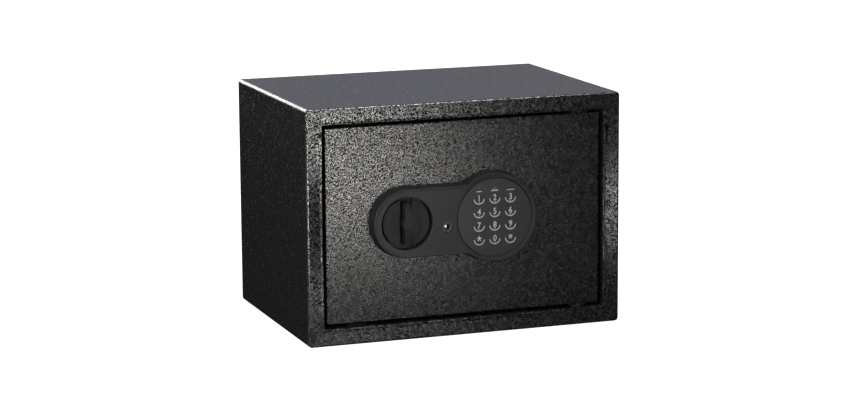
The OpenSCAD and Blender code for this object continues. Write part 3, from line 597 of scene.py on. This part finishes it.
def make_knob():
    """Turn knob: disc with a shallow dish either side of a deep trough, and the grip bar in it."""
    disc_y = PANEL_Y + 4 * MM
    back_y = knob_high.y
    disc_r = (knob_high.x - knob_low.x) / 2
    grip_half = 3.7 * MM
    grip_len = 22 * MM
    trough_half = grip_half + 3.0 * MM
    dish_r = 16.8 * MM
    profile = [(0, back_y)] + round_over(0, disc_y, 0.6 * MM, 1)
    shell = Shell()
    rings = shell.loft(lambda inset: circle(KNOB_X, MID_Z, disc_r - inset), profile)
    shell.fill(rings[0])
    shell.fill(rings[-1])
    disc = shell.made("knob_moulding")

    bm = bmesh.new()
    outline = [
        (-dish_r, disc_y - 1 * MM), (-dish_r, disc_y + 0.4 * MM), (0, disc_y + 0.9 * MM),
        (dish_r, disc_y + 0.4 * MM), (dish_r, disc_y - 1 * MM)
    ]
    ends = [
        [bm.verts.new((KNOB_X + x, y, MID_Z + z)) for x, y in outline] for z in (-dish_r, dish_r)
    ]
    for i in range(len(outline)):
        k = (i + 1) % len(outline)
        bm.faces.new((ends[0][i], ends[0][k], ends[1][k], ends[1][i]))
    for end in ends:
        bm.faces.new(end)
    bmesh.ops.recalc_face_normals(bm, faces=bm.faces)
    dish = mesh_object("dish", bm)
    round_tool = rod("dish_round", (KNOB_X, disc_y - 2 * MM, MID_Z), (0, 1, 0), dish_r, 8 * MM, FINE)
    combine(dish, [round_tool], "INTERSECT")
    corners = [(KNOB_X + sx * trough_half, MID_Z + sz * 27 * MM)
               for sx, sz in ((-1, -1), (1, -1), (1, 1), (-1, 1))]
    trough = prism("trough", corners, disc_y - 1 * MM, back_y - 1 * MM)
    combine(disc, [dish, trough], "DIFFERENCE")

    grip = make_grip(grip_half, grip_len, knob_low.y, back_y - 1.5 * MM)
    combine(disc, [grip], "UNION")
    pointer = prism(
        "pointer",
        rounded_rect(grip_half - 0.7 * MM, 2.2 * MM, 0.3 * MM, (KNOB_X, MID_Z + grip_len - 3 * MM), 2),
        knob_low.y - 1 * MM, knob_low.y + 3 * MM
    )
    combine(disc, [pointer], "DIFFERENCE")
    bevel(disc, 0.35 * MM, 2, 40)
    bake_modifiers(disc)
    place(smooth(disc, 30), knob_plastic, "panel_plastic", "knob", "knob")


def make_grip(half_w, half_len, top_y, foot_y):
    """Grip bar seen from the front as a bar with a round hub; its top is highest at the hub."""
    hub_r = 5.8 * MM
    fall = 1.5 * MM
    meet = math.sqrt(hub_r ** 2 - half_w ** 2)
    lean = math.degrees(math.atan2(meet, half_w))
    side = [(half_w, half_len - 0.2 * MM), (half_w, half_len * 0.5), (half_w, meet + 2 * MM)]
    right = side + arc(0, 0, hub_r, lean, -lean, 10) + [(x, -z) for x, z in reversed(side)]
    outline = right + [(-x, -z) for x, z in right]
    bm = bmesh.new()
    top = [bm.verts.new((KNOB_X + x, top_y + fall * max(0, abs(z) - hub_r) / half_len, MID_Z + z))
           for x, z in outline]
    foot = [bm.verts.new((KNOB_X + x, foot_y, MID_Z + z)) for x, z in outline]
    count = len(outline)
    for i in range(count):
        k = (i + 1) % count
        bm.faces.new((top[i], top[k], foot[k], foot[i]))
    half = count // 2
    for i in range(half - 1):
        bm.faces.new((top[i], top[count - 1 - i], top[count - 2 - i], top[i + 1]))
    bm.faces.new(foot)
    bmesh.ops.recalc_face_normals(bm, faces=bm.faces)
    return mesh_object("grip", bm)


def make_lock():
    """Emergency lock: barrel with a rounded rim and collar, and a domed plug with a warded keyway."""
    bore_r = (plug_high.x - plug_low.x) / 2 + 0.05 * MM
    nose_r = 5.7 * MM
    collar_r = (lock_high.x - lock_low.x) / 2
    collar_y = PANEL_Y + 4.2 * MM
    barrel_r = 7.5 * MM
    face_y = lock_low.y
    profile = [(bore_r, lock_high.y), (bore_r, face_y + 0.5 * MM)]
    profile += arc(0.5 * (bore_r + nose_r), face_y + 0.5 * MM, 0.5 * (nose_r - bore_r), 180, 360, 10)[1:-1]
    profile = [(r, max(y, face_y)) for r, y in profile]
    profile += [(nose_r, face_y + 0.6 * MM), (nose_r, collar_y), (collar_r, collar_y), (collar_r, DOOR_Y),
                (barrel_r, DOOR_Y), (barrel_r, lock_high.y)]
    shell = Shell()
    shell.loft(lambda r: circle(LOCK_X, LOCK_Z, r, 48), profile, closed=True)
    # The barrel gets the darkened chrome, painted shade of the recessed key hole.
    place(smooth(shell.made("lock_barrel")), shade_dark_chrome, "chrome", "door", "lock_cylinder")

    plug_r = (plug_high.x - plug_low.x) / 2
    crown = 0.55 * MM
    profile = [(plug_r, plug_high.y)]
    for share in (1.0, 0.86, 0.8, 0.74, 0.62, 0.5, 0.36, 0.22, 0.1):
        groove = 0.3 * MM if share == 0.8 else 0
        profile.append((plug_r * share, plug_low.y + crown * share ** 2 + groove))
    shell = Shell()
    rings = shell.loft(lambda r: circle(LOCK_X, LOCK_Z, r, 48), profile)
    shell.fill(rings[0])
    shell.fill(rings[-1])
    plug = shell.made("lock_core")
    half_w = 0.8 * MM
    keyway = [(-half_w, -3 * MM), (half_w, -3 * MM), (half_w, -1.2 * MM), (2 * half_w, -1.2 * MM),
              (2 * half_w, -0.4 * MM), (half_w, -0.4 * MM), (half_w, 3 * MM), (-half_w, 3 * MM),
              (-half_w, 1.6 * MM), (-1.8 * half_w, 1.6 * MM), (-1.8 * half_w, 0.8 * MM), (-half_w, 0.8 * MM)]
    keyway = [(LOCK_X + x, LOCK_Z + z) for x, z in keyway]
    combine(plug, [prism("keyway", keyway, plug_low.y - 1 * MM, plug_low.y + 15 * MM)], "DIFFERENCE")
    place(smooth(plug), satin, "chrome", "lock_plug", "lock_plug")


# ---------------------------------------------------------------- keypad

def key_centre(index):
    low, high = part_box("key_" + KEY_NAMES[index])
    return (low.x + high.x) / 2, (low.z + high.z) / 2


def make_keypad_plate():
    """Keypad face disc with the key holes."""
    gap_r = 6.5 * MM
    disc_r = (plate_high.x - plate_low.x) / 2
    shell = Shell()
    profile = [(0, plate_high.y)] + round_over(0, KEYPAD_Y, 0.35 * MM, 1, 3)
    outer = shell.loft(lambda inset: circle(KEYPAD_X, MID_Z, disc_r - inset, 2 * FINE), profile)
    holes = []
    for index in range(len(KEY_NAMES)):
        x, z = key_centre(index)
        holes.append(shell.skin([
            shell.ring(circle(x, z, gap_r, 48), KEYPAD_Y), shell.ring(circle(x, z, gap_r, 48), plate_high.y)
        ]))
    shell.fill(outer[-1], *[h[0] for h in holes])
    shell.fill(outer[0], *[h[1] for h in holes])
    obj = shell.made("keypad_face")
    place(smooth(obj), keypad_plastic, "keypad_plastic", "door", "keypad_plate")


def flat_print(name, outlines, y, body):
    """Thin white print: each outline is (outer, holes...) in x and z, printed just above depth y."""
    thick = 0.04 * MM
    shell = Shell()
    for rings in outlines:
        walls = [shell.skin([shell.ring(ring, y), shell.ring(ring, y - thick)]) for ring in rings]
        shell.fill(*[w[0] for w in walls])
        shell.fill(*[w[1] for w in walls])
    place(shell.made(name), ink, "key_plastic", body)


def band(x, z, r, width, start, end, steps=28):
    """Outline of an arc-shaped band."""
    outer = arc(x, z, r + width / 2, start, end, steps)
    inner = arc(x, z, r - width / 2, end, start, steps)
    return outer + inner


def glyph(text, x, z, height, y, name, body):
    """A keypad character from Blender's built-in font, as a thin closed mesh facing -Y."""
    curve = bpy.data.curves.new(name, "FONT")
    curve.body = text
    curve.size = height * 1.38
    curve.extrude = 0.02 * MM
    curve.offset = 0.14 * MM
    curve.resolution_u = 4
    maker = new_object(name + "_text", curve)
    graph = bpy.context.evaluated_depsgraph_get()
    mesh = bpy.data.meshes.new_from_object(maker.evaluated_get(graph))
    bpy.data.objects.remove(maker)
    bm = bmesh.new()
    bm.from_mesh(mesh)
    bmesh.ops.remove_doubles(bm, verts=bm.verts, dist=1e-6)
    bm.to_mesh(mesh)
    bm.free()
    xs = [v.co.x for v in mesh.vertices]
    ys = [v.co.y for v in mesh.vertices]
    centre = Vector(((min(xs) + max(xs)) / 2, (min(ys) + max(ys)) / 2, 0))
    turn = Matrix.Rotation(math.radians(90), 4, "X")
    narrow = Matrix.Diagonal((0.9, 1, 1, 1))
    mesh.transform(Matrix.Translation((x, y - 0.03 * MM, z)) @ turn @ narrow @ Matrix.Translation(-centre))
    place(new_object(name, mesh), ink, "key_plastic", body)


def star(x, z, reach, half):
    """Outline of a five-armed asterisk."""
    points = []
    for arm in range(5):
        a = math.radians(90 + 72 * arm)
        along = (math.cos(a), math.sin(a))
        for side in (-1, 1):
            points.append((x + along[0] * reach - along[1] * side * half,
                           z + along[1] * reach + along[0] * side * half))
        between = a + math.radians(36)
        notch = half / math.sin(math.radians(36))
        points.append((x + notch * math.cos(between), z + notch * math.sin(between)))
    return points


def hash_sign(x, z, offset, half, reach):
    """Outline and middle hole of a hash sign."""
    near, far = offset - half, offset + half
    corner = [(far, near), (reach, near), (reach, far), (far, far), (far, reach), (near, reach), (near, far)]
    outline = []
    for turn in range(4):
        for a, b in corner:
            for _ in range(turn):
                a, b = -b, a
            outline.append((x + a, z + b))
    hole = [(x + sx * near, z + sz * near) for sx, sz in ((1, 1), (-1, 1), (-1, -1), (1, -1))]
    return [outline, hole]


def make_key(index):
    """One key cap with its printed lower arc and character."""
    name = "key_" + KEY_NAMES[index]
    low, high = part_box(name)
    x, z = key_centre(index)
    face_r = 6.42 * MM
    flange_r = (high.x - low.x) / 2
    shell = Shell()
    flange_y = high.y - 0.6 * MM
    profile = [
        (face_r - 0.25 * MM, low.y), (face_r - 0.07 * MM, low.y + 0.06 * MM), (face_r, low.y + 0.2 * MM),
        (face_r, flange_y), (flange_r, flange_y), (flange_r, high.y)
    ]
    rings = shell.skin([shell.ring(circle(x, z, r, 48), y) for r, y in profile])
    shell.fill(rings[0])
    shell.fill(rings[-1])
    place(smooth(shell.made(name + "_cap")), keypad_plastic, "key_plastic", name, name)

    prints = [[band(x, z, 5.65 * MM, 1.0 * MM, 184, 356)]]
    if KEY_NAMES[index] == "star":
        prints.append([star(x, z + 0.9 * MM, 2.9 * MM, 0.5 * MM)])
    elif KEY_NAMES[index] == "hash":
        prints.append(hash_sign(x, z + 1.0 * MM, 0.85 * MM, 0.36 * MM, 2.2 * MM))
    else:
        prints.append([rounded_rect(1.3 * MM, 0.2 * MM, 0.1 * MM, (x, z - 3.9 * MM), 2)])
        glyph(KEY_NAMES[index], x, z + 0.6 * MM, 6.6 * MM, low.y, name + "_mark", name)
    flat_print(name + "_arc", prints, low.y, name)


def make_labels():
    """Generic label dashes above the three columns, where the lamps are."""
    outlines = []
    for index, half in ((0, 3.2), (1, 4.0), (2, 4.4)):
        x, z = key_centre(index)
        z += 7.65 * MM
        outlines.append([rounded_rect(half * MM, 0.42 * MM, 0.2 * MM, (x, z), 2)])
    x, z = key_centre(1)
    for dx in (-1.6, 1.4):
        outlines.append([rounded_rect(1.0 * MM, 0.38 * MM, 0.2 * MM, (x + dx * MM, z + 9.1 * MM), 2)])
    flat_print("keypad_labels", outlines, KEYPAD_Y, "door")


# ---------------------------------------------------------------- CAD nodes that stay

def refine(node, material, width):
    """Gives a CAD node its material and, with a width, softened edges."""
    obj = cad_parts[node]
    obj.data.materials.clear()
    obj.data.materials.append(material)
    if width:
        weld = obj.modifiers.new("weld", "WELD")
        weld.merge_threshold = 1e-5
        bevel(obj, width, 2, 40)
    weighted = obj.modifiers.new("weighted", "WEIGHTED_NORMAL")
    weighted.keep_sharp = True


# Finish, edge round in mm, and the nodes that have them
KEPT = [
    (liner, 0.4, ["floor_mat"]),
    (smooth_coat, 0.3, ["hinge_bushes"]),
    # Door stops: black rubber, darkened further as painted shade of the door gap.
    (gap_shade_rubber, 0.4, ["door_stops"]),
    (smooth_coat, 0, ["door_pan"]),
    (smooth_coat, 0.4, ["inner_cover"]),
    (zinc, 0, [
        "inner_cover_screws", "panel_screws", "knob_shaft", "crank", "crank_pin", "crank_screw",
        "bolt_carriage", "bolt_screws", "carriage_guides", "solenoid_frame", "plunger_spring",
        "release_arm", "lock_nut", "lock_cam", "cam_screw", "small_screws"
    ]),
    (smooth_coat, 0.6, ["hinge_blocks"]),
    (zinc, 0.4, ["hinge_pins"]),
    (mat_rubber, 0, ["keypad_mat"]),
    (board_green, 0, ["keypad_board", "main_board"]),
    (lens, 0, ["indicator_leds"]),
    (brass, 0, ["shaft_bush", "board_standoffs"]),
    (chrome, 0, ["live_bolts", "solenoid_plunger", "battery_contacts"]),
    (coil_tape, 0, ["solenoid_coil"]),
    (lead_pvc, 0, ["wiring"]),
    (inner_plastic, 0.3, ["battery_box", "battery_cover", "reset_switch"]),
    (cell_sleeve, 0.4, ["batteries"]),
    (red_plastic, 0.5, ["reset_button"]),
]


# ---------------------------------------------------------------- stage

def area_light(name, where, aim, size, watts, colour=(1, 1, 1)):
    data = bpy.data.lights.new(name, "AREA")
    data.shape = "RECTANGLE"
    data.size, data.size_y = size
    data.energy = watts
    data.color = colour
    lamp = new_object(name, data)
    lamp.location = where
    lamp.rotation_euler = (Vector(aim) - Vector(where)).to_track_quat("-Z", "Y").to_euler()


def make_stage():
    """White floor, white surroundings for the camera and a darker studio for reflections."""
    size = 12.0
    mesh = bpy.data.meshes.new("floor")
    corners = [(-size, -size, 0), (size, -size, 0), (size, size, 0), (-size, size, 0)]
    mesh.from_pydata(corners, [], [(0, 1, 2, 3)])
    floor = new_object("floor", mesh)
    floor.location.z = -0.2 * MM
    floor.visible_glossy = False
    floor.visible_diffuse = False
    paper = bpy.data.materials.new("paper")
    paper.use_nodes = True
    tree = paper.node_tree
    shader = tree.nodes["Principled BSDF"]
    shader.inputs["Base Color"].default_value = (0.9, 0.9, 0.9, 1)
    shader.inputs["Roughness"].default_value = 1.0
    shader.inputs["Emission Color"].default_value = (1, 1, 1, 1)
    shader.inputs["Emission Strength"].default_value = 1.0
    floor.data.materials.append(paper)

    world = bpy.data.worlds.new("studio")
    bpy.context.scene.world = world
    world.use_nodes = True
    tree = world.node_tree
    tree.nodes.clear()
    out = tree.nodes.new("ShaderNodeOutputWorld")
    mix = tree.nodes.new("ShaderNodeMixShader")
    seen = tree.nodes.new("ShaderNodeBackground")
    felt_light = tree.nodes.new("ShaderNodeBackground")
    path = tree.nodes.new("ShaderNodeLightPath")
    coord = tree.nodes.new("ShaderNodeTexCoord")
    split = tree.nodes.new("ShaderNodeSeparateXYZ")
    fade = tree.nodes.new("ShaderNodeValToRGB")
    seen.inputs["Color"].default_value = (1, 1, 1, 1)
    seen.inputs["Strength"].default_value = 1.05
    stops = fade.color_ramp.elements
    stops[0].position, stops[0].color = 0.47, (0.02, 0.02, 0.022, 1)
    stops[1].position, stops[1].color = 0.56, (0.33, 0.34, 0.39, 1)
    remap = tree.nodes.new("ShaderNodeMapRange")
    remap.inputs["From Min"].default_value = -1
    tree.links.new(coord.outputs["Generated"], split.inputs["Vector"])
    tree.links.new(split.outputs["Z"], remap.inputs["Value"])
    tree.links.new(remap.outputs["Result"], fade.inputs["Fac"])
    behind = tree.nodes.new("ShaderNodeMapRange")
    behind.inputs["From Min"].default_value = 0.25
    behind.inputs["From Max"].default_value = 0.75
    behind.inputs["To Min"].default_value = 0.04
    tree.links.new(split.outputs["Y"], behind.inputs["Value"])
    tree.links.new(behind.outputs["Result"], felt_light.inputs["Strength"])
    tree.links.new(fade.outputs["Color"], felt_light.inputs["Color"])
    tree.links.new(path.outputs["Is Camera Ray"], mix.inputs["Fac"])
    tree.links.new(felt_light.outputs["Background"], mix.inputs[1])
    tree.links.new(seen.outputs["Background"], mix.inputs[2])
    tree.links.new(mix.outputs["Shader"], out.inputs["Surface"])

    middle = (0, -0.1, 0.16)
    area_light("key", (0.10, -1.06, 0.02), (-0.08, -0.12, 0.115), (0.36, 0.15), 1.38, (1.0, 0.985, 0.965))
    area_light("front_fill", (0.45, -1.3, 1.35), middle, (0.6, 0.6), 4)
    area_light("top_strip", (-0.25, -0.95, 1.35), middle, (1.2, 0.05), 2.4)
    area_light("side_strip", (-1.2, -0.85, 0.5), middle, (0.06, 0.6), 7)
    area_light("rear_left", (-0.5, 2.3, 0.8), middle, (1.0, 0.8), 16)
    area_light("rear_right", (2.1, 0.8, 0.9), middle, (1.0, 0.8), 16)


def make_camera():
    """Camera low on the left, at the reference view's azimuth, elevation and distance."""
    azimuth, elevation, roll = math.radians(-19.9), math.radians(10.56), math.radians(-0.37)
    target = Vector((0.0047, 0.0, 0.1173))
    away = Vector((
        math.sin(azimuth) * math.cos(elevation), -math.cos(azimuth) * math.cos(elevation), math.sin(elevation)
    ))
    data = bpy.data.cameras.new("camera")
    data.sensor_width = 36
    data.lens = 110.4
    data.clip_start, data.clip_end = 0.05, 50
    camera = new_object("camera", data)
    camera.location = target + away * 2.887
    turn = (-away).to_track_quat("-Z", "Y").to_matrix().to_4x4()
    turn = turn @ Matrix.Rotation(roll, 4, "Z")
    camera.rotation_euler = turn.to_euler()
    bpy.context.scene.camera = camera


make_camera()
make_stage()
make_front_frame()
make_wrap()
make_back()
make_door_plate()
make_panel()
make_knob()
make_lock()
make_keypad_plate()
make_labels()
for index in range(len(KEY_NAMES)):
    make_key(index)
for finish, edge, nodes in KEPT:
    for node in nodes:
        refine(node, finish, edge * MM)

settings = bpy.context.scene.view_settings
settings.view_transform = "Standard"
